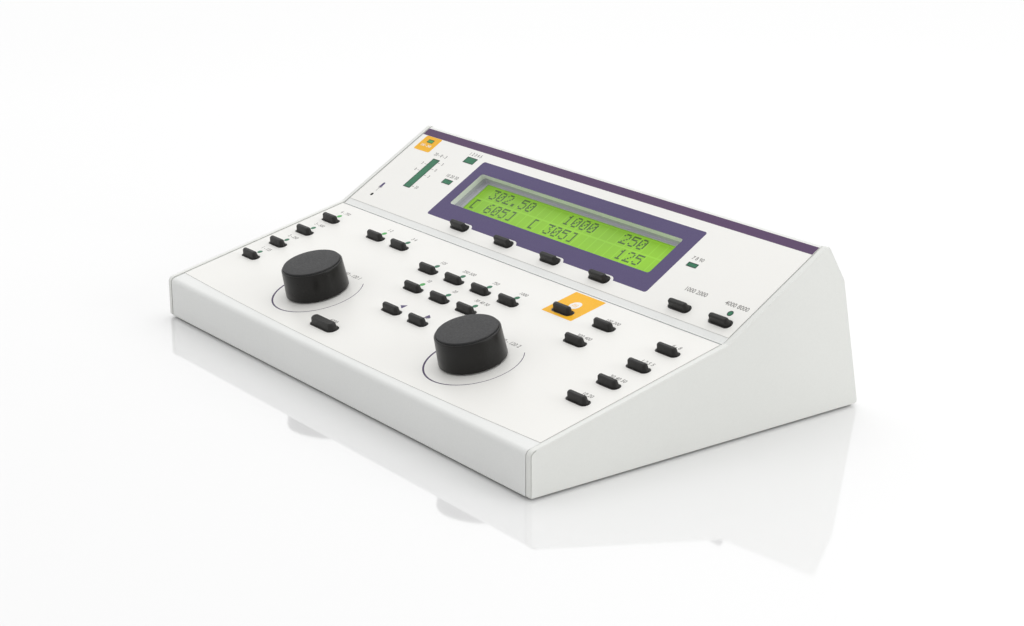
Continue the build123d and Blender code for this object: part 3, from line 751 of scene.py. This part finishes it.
# The unlit windows get a faint painted glow though their lamps are off; the lit ones glow with
# their lamps.
unlit_window_painted_glow = tinted("tinted_window", window_colour, 0.04)
lit_finish = tinted("lit_window", lit_colour, 0.14)
dark_spots = []
lit_spots = []
for name, (x, t) in key_places.items():
    if name.startswith(with_lights):
        spots = lit_spots if name in lit_keys else dark_spots
        spots.append(round_spot(x, t + light_offset, spot_radius, spot_steps))
laid("key_windows", lower_deck, dark_spots, unlit_window_painted_glow, "light_lens")
laid("lit_key_windows", lower_deck, lit_spots, lit_finish, "light_lens")
boxes = [
    (-0.1211, 0.0595, -0.1105, 0.0649),
    (-0.1197, 0.0389, -0.1109, 0.0429),
    (0.1123, 0.0389, 0.1203, 0.0421),
    (-0.1474, 0.0269, -0.1401, 0.0549),
]
power_box = (-0.1690, 0.0658, -0.1630, 0.0688)
talk_spot = (0.1672, 0.0190)
talk_radius = 0.0019
squares = [rounded(*box, box_corner, 2) for box in boxes]
squares.append(round_spot(*talk_spot, talk_radius, spot_steps))
laid("deck_windows", upper_deck, squares, unlit_window_painted_glow, "light_lens")
power_window = [rounded(*power_box, box_corner, 2)]
laid("power_window", upper_deck, power_window, lit_finish, "light_lens", lift=ink_depth)

# Rims of the windows on the upper deck: a dark ring painted round each window as the shadow that
# falls inside its edge.
painted_rim_shade = (20, 50, 44)
rim_width = 0.00045
shade_rims = []
for x0, t0, x1, t1 in [*boxes, power_box]:
    for inset in (0, rim_width):
        edge = (x0 + inset, t0 + inset, x1 - inset, t1 - inset)
        shade_rims.append(rounded(*edge, box_corner, 2))
for inset in (0, rim_width):
    shade_rims.append(round_spot(*talk_spot, talk_radius - inset, spot_steps))
rim_shade_finish = printed_ink("painted_rim_shade", painted_rim_shade)
laid("window_rim_shade", upper_deck, shade_rims, rim_shade_finish, "light_lens", lift=2 * ink_depth)

# ------------------------------------------------------------
# Display: a liquid crystal cell of two rows of twenty-four characters over a green backlight,
# held in a moulded and painted tray behind the window of the upper cover.
tray_colour = (188, 188, 195)
tray_shade = (181, 181, 188)
tray_worn = (206, 206, 211)
frame_finish = moulded(
    "display_frame_paint", tray_colour, tray_shade, tray_worn, 0.0005, 0.00002, (0.4, 0.55)
)
module = (0.00075, 0.04015)
view_x, view_t = view = (0.00035, 0.04145)
rim_high = -0.00325
board_high = -0.00885
face_high = -0.0062
face_low = -0.0066
glass_top = face_low


def banded(name, rings, closed, finish, slot, replaced):
    """Piece of the display made of rounded rectangles (middle, halves, corner, height) in turn."""
    shape = bmesh.new()
    rows = []
    for (x, t), (half_x, half_t), corner, height in rings:
        spots = rounded(x - half_x, t - half_t, x + half_x, t + half_t, corner, 6)
        rows.append([shape.verts.new((a, b, height)) for a, b in spots])
    count = len(rows[0])
    pairs = list(zip(rows, rows[1:])) + ([(rows[-1], rows[0])] if closed else [])
    for first, last in pairs:
        for i in range(count):
            j = (i + 1) % count
            shape.faces.new((first[i], first[j], last[j], last[i]))
    if not closed:
        shape.faces.new(rows[0])
        shape.faces.new(rows[-1])
    in_place(shape, upper_deck)
    return settled(name, shape, finish, "case", slot, replaced)


window = (0.0, (window_low + window_high) / 2)
tray_out = (0.0995, 0.0180)
tray_in = (0.0989, 0.0174)
well = (0.0948, 0.01475)
opening = (0.09105, 0.01215)
soft_edge = 0.0003
tray = [
    (module, tray_out, 0.0012, board_high),
    (module, tray_out, 0.0012, rim_high - 0.00025),
    (module, (0.09925, 0.01775), 0.0010, rim_high),
    (window, (0.0950, 0.01495), 0.0021, rim_high),
    (window, well, 0.0019, rim_high - soft_edge),
    (window, well, 0.0019, face_high + soft_edge),
    (window, (0.0945, 0.01445), 0.0016, face_high),
    (view, opening, 0.0005, face_high),
    (view, opening, 0.0005, face_low),
    (module, tray_in, 0.0007, face_low),
    (module, tray_in, 0.0007, board_high),
]
banded("display_tray", tray, True, frame_finish, "display_bezel", "display_frame")

# Cell: green all over, with slightly darker squares where the characters stand.
cell_columns = 24
cell_pitch = 0.007416
row_pitch = 0.01105
cell_share = 0.9
glow_colour = (147, 203, 50)
glow_shade = (134, 187, 54)
cell_colour = (138, 194, 36)
cell_shade = (126, 176, 46)


def backlit(name):
    """Green polariser over its backlight: a grid of faint cells, clouded at random, with painted
    shade darkening it towards its left end.
    """
    finish, tree, shader = new_finish(name, Emission_Strength=0.2, Specular_IOR_Level=0.3)
    place = wired(tree, "ShaderNodeTexCoord")["Object"]
    slope = atan2(upper_deck.col[1].z, upper_deck.col[1].y)
    turn = {"Vector": place, "Location": upper_deck.translation, "Rotation": (slope, 0, 0)}
    on_deck = wired(tree, "ShaderNodeMapping", turn, vector_type="TEXTURE")[0]
    across = wired(tree, "ShaderNodeSeparateXYZ", {0: on_deck})
    masks = []
    for axis, pitch, middle in (("X", cell_pitch, view_x), ("Y", row_pitch, view_t)):
        steps = sums(tree, "DIVIDE", sums(tree, "SUBTRACT", across[axis], middle), pitch)
        away = sums(tree, "SUBTRACT", sums(tree, "FRACT", steps), 0.5)
        away = sums(tree, "ABSOLUTE", away)
        masks.append(ranged(tree, away, cell_share / 2 - 0.01, cell_share / 2 + 0.01, 1.0, 0.0))
    cells = sums(tree, "MULTIPLY", *masks)
    skin = grouped(tree, mould_grain, Grain=0.0004, Cloud_Size=0.05)
    # Painted shade: the cell darkens towards its left end, mixed with random clouding.
    cloud_and_left_shade = sums(tree, "ADD", ranged(tree, across["X"], -0.09, 0.06, 0.8, 0.0), skin["Cloud"])
    cloud_and_left_shade = ranged(tree, cloud_and_left_shade, 0.0, 1.4, 0.0, 1.0)
    gap = mixed(tree, cloud_and_left_shade, paint(*glow_colour), paint(*glow_shade))
    body = mixed(tree, cells, gap, mixed(tree, cloud_and_left_shade, paint(*cell_colour), paint(*cell_shade)))
    dull = ranged(tree, skin["Fleck"], 0.0, 1.0, 0.3, 0.4)
    fed(tree, shader, Base_Color=body, Emission_Color=body, Roughness=dull)
    return finish


# The cell is two plates of glass with the polariser on the upper one.
lower_plate = (0.0941, 0.0168)
upper_plate = (0.0936, 0.0160)
polariser = (0.0924, 0.0138)
plates_meet = -0.0077
plates_high = -0.0068
glass_corner = 0.0004
cell = [
    (module, lower_plate, glass_corner, board_high),
    (module, lower_plate, glass_corner, plates_meet),
    (module, upper_plate, glass_corner, plates_meet),
    (module, upper_plate, glass_corner, plates_high),
    (view, polariser, glass_corner, plates_high),
    (view, polariser, glass_corner, glass_top),
]
banded("display_cell", cell, False, backlit("backlit_cell"), "display_glass", "display_glass")

# Dots of the characters: five by seven for each, dark where the liquid crystal is driven.
dot_shapes = {
    "0": "01110 10001 10011 10101 11001 10001 01110",
    "1": "00100 01100 00100 00100 00100 00100 01110",
    "2": "01110 10001 00001 00010 00100 01000 11111",
    "3": "11111 00010 00100 00010 00001 10001 01110",
    "5": "11111 10000 11110 00001 00001 10001 01110",
    "6": "00110 01000 10000 11110 10001 10001 01110",
    "[": "01110 01000 01000 01000 01000 01000 01110",
    "]": "01110 00010 00010 00010 00010 00010 01110",
    ".": "00000 00000 00000 00000 00000 01100 01100",
}
rows_shown = (" 302.50    1000   250   ", "[ 605]  [ 305]     125  ")
dot_pitch_x = 0.00122
dot_pitch_y = 0.00117
dots = []
for row, text in enumerate(rows_shown):
    for column, sign in enumerate(text):
        if sign == " ":
            continue
        for line, bits in enumerate(dot_shapes[sign].split()):
            for place_in_line, bit in enumerate(bits):
                if bit == "1":
                    x = view_x + (column - (cell_columns - 1) / 2) * cell_pitch
                    x += (place_in_line - 2) * dot_pitch_x
                    t = view_t + (0.5 - row) * row_pitch + (3.5 - line) * dot_pitch_y
                    dots.append((x, t, glass_top))

dot_rows, given, made = new_group(
    "character_dots",
    "GeometryNodeTree",
    [
        ("Geometry", "Geometry", None),
        ("Dot Width", "Float", 0.00112),
        ("Dot Height", "Float", 0.00107),
        ("Depth", "Float", 0.00002),
        ("Finish", "Material", None),
    ],
    [("Geometry", "Geometry", None)],
)
tree = dot_rows
size = {"X": given["Dot Width"], "Y": given["Dot Height"], "Z": given["Depth"]}
size = wired(tree, "ShaderNodeCombineXYZ", size)[0]
dot = wired(tree, "GeometryNodeMeshCube", {"Size": size})["Mesh"]
rise = {"Z": sums(tree, "DIVIDE", given["Depth"], 2.0)}
rise = wired(tree, "ShaderNodeCombineXYZ", rise)[0]
dot = wired(tree, "GeometryNodeTransform", {"Geometry": dot, "Translation": rise})[0]
spread = {"Points": given["Geometry"], "Instance": dot}
spread = wired(tree, "GeometryNodeInstanceOnPoints", spread)[0]


def solid_made(tree, shape, given, made):
    """Ends a geometry tree: real faces in place of copies, with their finish."""
    shape = wired(tree, "GeometryNodeRealizeInstances", {"Geometry": shape})[0]
    shape = {"Geometry": shape, "Material": given["Finish"]}
    tree.links.new(wired(tree, "GeometryNodeSetMaterial", shape)[0], made["Geometry"])


solid_made(tree, spread, given, made)


def grown(name, points, tree, inputs):
    """Runs a geometry tree on a few points and returns the plain mesh that it makes."""
    seed = bpy.data.meshes.new(name)
    seed.from_pydata(points, [], [])
    holder = shown(name, seed)
    rule = holder.modifiers.new(name, "NODES")
    rule.node_group = tree
    for item in tree.interface.items_tree:
        if item.in_out == "INPUT" and item.name in inputs:
            rule[item.identifier] = inputs[item.name]
    result = drawn_mesh(holder)
    holder.modifiers.remove(rule)
    bpy.data.objects.remove(holder)
    shape = bmesh.new()
    shape.from_mesh(result)
    bpy.data.meshes.remove(result)
    return shape


dot_finish = moulded(
    "driven_dots", (62, 92, 40), (56, 84, 36), (62, 92, 40), 0.0004, 0.00001, (0.3, 0.45), 0.0
)
shape = grown("display_characters", dots, dot_rows, {"Finish": dot_finish})
in_place(shape, upper_deck)
settled("display_characters", shape, dot_finish, "case", "display_glass")

# ------------------------------------------------------------
# Keys: moulded caps of black silicone rubber, drafted and bevelled round the top. Each has a wide
# flange under the cover, is pressed into its slot from behind and sits on a push switch.
round_moulding, given, made = new_group(
    "round_moulding",
    "GeometryNodeTree",
    [
        ("Geometry", "Geometry", None),
        ("Radius", "Float", 0.002),
        ("Straight", "Float", 0.0),
        ("Steps", "Int", 32),
        ("Rows", "Int", 8),
        ("Finish", "Material", None),
    ],
    [("Geometry", "Geometry", None)],
)
tree = round_moulding
# The section's points lie off the rim in x and up in z; the tree turns them round the rim.
columns = sums(tree, "ADD", given["Steps"], 1)
sheet = {"Vertices X": columns, "Vertices Y": given["Rows"]}
sheet = wired(tree, "GeometryNodeMeshGrid", sheet)["Mesh"]
index = wired(tree, "GeometryNodeInputIndex")[0]
column = sums(tree, "FLOOR", sums(tree, "DIVIDE", index, given["Rows"]))
row = sums(tree, "MODULO", index, given["Rows"])
turn = sums(tree, "DIVIDE", sums(tree, "ADD", column, 0.5), given["Steps"])
turn = sums(tree, "MULTIPLY", turn, 2 * pi)
spot = wired(tree, "GeometryNodeInputPosition")[0]
section = {"Geometry": given["Geometry"], "Value": spot, "Index": row}
section = wired(tree, "GeometryNodeSampleIndex", section, data_type="FLOAT_VECTOR")[0]
section = wired(tree, "ShaderNodeSeparateXYZ", {0: section})
away = sums(tree, "ADD", given["Radius"], section["X"])
cosine = sums(tree, "COSINE", turn)
half = sums(tree, "DIVIDE", given["Straight"], 2.0)
shift = sums(tree, "MULTIPLY", sums(tree, "SIGN", cosine), half)
placed = {"X": sums(tree, "ADD", sums(tree, "MULTIPLY", away, cosine), shift)}
placed["Y"] = sums(tree, "MULTIPLY", away, sums(tree, "SINE", turn))
placed["Z"] = section["Z"]
body = {"Geometry": sheet, "Position": wired(tree, "ShaderNodeCombineXYZ", placed)[0]}
body = {"Geometry": wired(tree, "GeometryNodeSetPosition", body)[0], "Distance": 0.0000005}
body = wired(tree, "GeometryNodeMergeByDistance", body)[0]
solid_made(tree, body, given, made)


def softened(corners, steps=5):
    """A section's corner points (away, up, radius) with each corner rounded by its radius."""
    points = []
    for i, (x, z, radius) in enumerate(corners):
        if not radius:
            points.append((x, 0, z))
            continue
        here = Vector((x, z))
        before = (Vector(corners[i - 1][:2]) - here).normalized()
        after = (Vector(corners[i + 1][:2]) - here).normalized()
        opening = before.angle(after) / 2
        near = radius / tan(opening)
        centre = here + (before + after).normalized() * (radius / sin(opening))
        first = here + before * near - centre
        last = here + after * near - centre
        for j in range(steps + 1):
            share = j / steps
            arm = first.normalized().slerp(last.normalized(), share) * radius
            points.append((centre.x + arm.x, 0, centre.y + arm.y))
    return points


def turned_round(name, section, radius, straight, steps, finish, place):
    """Closed round or obround moulding made from its section, in its place."""
    values = {"Radius": radius, "Straight": straight, "Steps": steps, "Finish": finish}
    shape = grown(name, section, round_moulding, {**values, "Rows": len(section)})
    bmesh.ops.remove_doubles(shape, verts=shape.verts, dist=1e-6)
    bmesh.ops.dissolve_degenerate(shape, edges=shape.edges, dist=1e-7)
    in_place(shape, place)
    return shape


key_size = (0.0148, 0.0042)
large_size = (0.0222, 0.0062)
key_rise = 0.0042
key_draft = radians(7.4)
key_bevel = 0.0008
key_soft_edge = 0.00035
flange_low = -0.00475
flange_high = -0.00355
flange_out = 0.0017
skirt_high = -0.00035
skirt_out = 0.0008
key_steps = 40
key_colour = (33, 32, 30)
key_shade = (28, 27, 26)
key_worn = (66, 65, 62)
key_finish = moulded(
    "key_rubber", key_colour, key_shade, key_worn, 0.0004, 0.00002, (0.42, 0.58), 0.5,
    Specular_IOR_Level=0.4,
)
lean = (key_rise - key_bevel) * tan(key_draft)
root = -skirt_high * tan(key_draft)
all_keys = [(name, lower_deck, spot) for name, spot in key_places.items()]
all_keys += [(name, upper_deck, spot) for name, spot in upper_places.items()]
for name, deck, (x, t) in all_keys:
    length, width = large_size if name == "large_key" else key_size
    radius = width / 2
    section = softened(
        [
            (-radius, flange_low, 0),
            (flange_out, flange_low, 0),
            (flange_out, flange_high, 0),
            (skirt_out, flange_high, 0),
            (skirt_out, skirt_high, 0.0001),
            (root, skirt_high, 0.0002),
            (-lean, key_rise - key_bevel, key_soft_edge),
            (-lean - key_bevel, key_rise, key_soft_edge),
            (-radius, key_rise, 0),
        ]
    )
    place = deck @ Matrix.Translation((x, t, 0))
    cap = name + "_cap"
    shape = turned_round(cap, section, radius, length - width, key_steps, key_finish, place)
    settled(cap, shape, key_finish, name + "_push", "key_rubber", name)

# Microphone felt: a soft black disc pressed into the hole in front of the microphone's capsule; its
# near black is partly painted shade in the hole.
felt_radius = 0.0012
felt_low = -0.0031
felt_high = -0.0002
felt = [(-felt_radius, felt_low, 0), (0, felt_low, 0)]
felt += [(0, felt_high, 0.0003), (-felt_radius, felt_high + 0.0001, 0)]
felt_and_hole_shade = moulded(
    "black_felt", (8, 8, 9), (5, 5, 6), (12, 12, 13), 0.0002, 0.00008, (0.85, 0.98), 0.2
)
place = upper_deck @ Matrix.Translation((microphone_x, microphone_t, 0))
shape = turned_round("microphone_felt", softened(felt), felt_radius, 0.0, 24, felt_and_hole_shade, place)
settled("microphone_felt", shape, felt_and_hole_shade, "case", "capsule_metal")

# ------------------------------------------------------------
# Knobs: hollow black ABS cups pressed on the encoders' shafts. Their sides are polished and
# slightly drafted, and a matt disc sits in the recess of the top and stands a little proud.
knob_radius = 0.0188
knob_top = 0.0173
shoulder_low = 0.0169
knob_lift = 0.0008
knob_draft = 0.0007
knob_inside = 0.0150
knob_ceiling = 0.0144
recess_low = 0.0165
recess_gap = 0.00016
disc_radius = 0.0170
disc_top = 0.0183
disc_low = 0.0169
knob_steps = 128
knob_colour = (24, 23, 21)
knob_shade = (21, 20, 18)
knob_worn = (56, 55, 52)
knob_finish = moulded(
    "knob_plastic", knob_colour, knob_shade, knob_worn, 0.0009, 0.000004, (0.27, 0.33), 0.35,
    Specular_IOR_Level=0.3,
)
disc_finish = moulded(
    "knob_disc", (38, 38, 39), (32, 32, 33), (60, 60, 61), 0.0005, 0.00003, (0.5, 0.66), 0.3
)
for side, x in (("left", -knob_x), ("right", knob_x)):
    place = lower_deck @ Matrix.Translation((x, knob_t, 0))
    shell = softened(
        [
            (-knob_radius, knob_ceiling, 0),
            (knob_inside - knob_radius, knob_ceiling, 0.0005),
            (knob_inside - knob_radius, knob_lift, 0),
            (0, knob_lift, 0.0003),
            (-knob_draft, shoulder_low, 0.0008),
            (disc_radius + recess_gap - knob_radius, knob_top, 0.0001),
            (disc_radius + recess_gap - knob_radius, recess_low, 0),
            (-knob_radius, recess_low, 0),
        ]
    )
    name = side + "_knob_shell"
    shape = turned_round(name, shell, knob_radius, 0.0, knob_steps, knob_finish, place)
    body = side + "_knob_turn"
    settled(name, shape, knob_finish, body, "knob_plastic", side + "_knob")
    cap = softened(
        [
            (-disc_radius, disc_low, 0),
            (0, disc_low, 0),
            (0, disc_top, 0.0004),
            (-disc_radius * 0.5, disc_top, 0),
            (-disc_radius, disc_top, 0),
        ]
    )
    name = side + "_knob_cap"
    shape = turned_round(name, cap, disc_radius, 0.0, knob_steps, disc_finish, place)
    settled(name, shape, disc_finish, body, "knob_disc", side + "_knob_disc")

# ------------------------------------------------------------
# Rear sockets: six black jack sockets with their nuts, a low-voltage power inlet and a shielded
# data socket, all soldered to the main board and standing through the rear panel.
socket_finish = moulded(
    "socket_plastic", (38, 38, 40), (30, 30, 32), (66, 66, 68), 0.0006, 0.00003, (0.35, 0.5)
)
shell_finish = machined("socket_shell", (182, 183, 185), (160, 161, 163), (0.22, 0.4))
refinish(socket_finish, "jack_sockets", "power_inlet")
refinish(shell_finish, "data_socket")

# ------------------------------------------------------------
# Studio: a pale glossy table, a large soft light above, another from the right and behind, even
# light from all round that is weaker on the near side, and the camera of the photograph.
floor_half = 6.0
floor_mesh = bpy.data.meshes.new("table_top")
around = ((-1, -1), (1, -1), (1, 1), (-1, 1))
floor_corners = [(x * floor_half, y * floor_half, 0) for x, y in around]
floor_mesh.from_pydata(floor_corners, [], [(0, 1, 2, 3)])
floor_finish, tree, shader = new_finish("table_finish", Roughness=0.05, IOR=2.15)
shader["Base Color"].default_value = (0.82, 0.82, 0.82, 1)
floor_mesh.materials.append(floor_finish)
shown("table_top", floor_mesh)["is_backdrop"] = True


def soft_light(name, place, aim, width, height, power):
    """Large even panel light aimed at the product."""
    lamp = bpy.data.lights.new(name, "AREA")
    lamp.shape = "RECTANGLE"
    lamp.size = width
    lamp.size_y = height
    lamp.energy = power
    holder = shown(name, lamp)
    holder.location = place
    holder.rotation_euler = (Vector(aim) - Vector(place)).to_track_quat("-Z", "Y").to_euler()


soft_light("over_light", (-0.1, 0.35, 1.4), (0, 0, 0), 1.4, 1.1, 4.6)
soft_light("side_light", (1.5, 0.62, 0.62), (0.18, 0.05, 0.04), 0.8, 0.6, 6.0)
world = bpy.data.worlds.new("studio")
world.use_nodes = True
sky = world.node_tree
far_side = (-0.80, 0.598, 0.0)
heading = agreement(sky, wired(sky, "ShaderNodeTexCoord")["Generated"], far_side)
light = sky.nodes["Background"].inputs
light["Color"].default_value = (1, 1, 1, 1)
sky.links.new(ranged(sky, heading, -0.8, 0.6, 0.58, 1.18), light["Strength"])
bpy.context.scene.world = world
bpy.context.scene.view_settings.view_transform = "Standard"

# The camera, solved from the object's edges in the photograph.
azimuth = radians(53.26)
elevation = radians(17.75)
roll = radians(-0.141)
focal_pixels = 2040.9
picture_width = 1024
camera_place = (0.9077, -0.66264, 0.3869)
back = Vector((sin(azimuth) * cos(elevation), -cos(azimuth) * cos(elevation), sin(elevation)))
right = Vector((cos(azimuth), sin(azimuth), 0))
up = back.cross(right)
rolled_right = right * cos(roll) + up * sin(roll)
rolled_up = up * cos(roll) - right * sin(roll)
camera = bpy.data.cameras.new("studio_camera")
camera.sensor_width = 36
camera.lens = focal_pixels / picture_width * camera.sensor_width
camera.clip_start = 0.05
camera.clip_end = 50
camera_holder = shown("studio_camera", camera)
camera_holder.matrix_world = standing(rolled_right, rolled_up, back, camera_place)
bpy.context.scene.camera = camera_holder

boxes = {"cad": cad_box, "visual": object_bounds()}
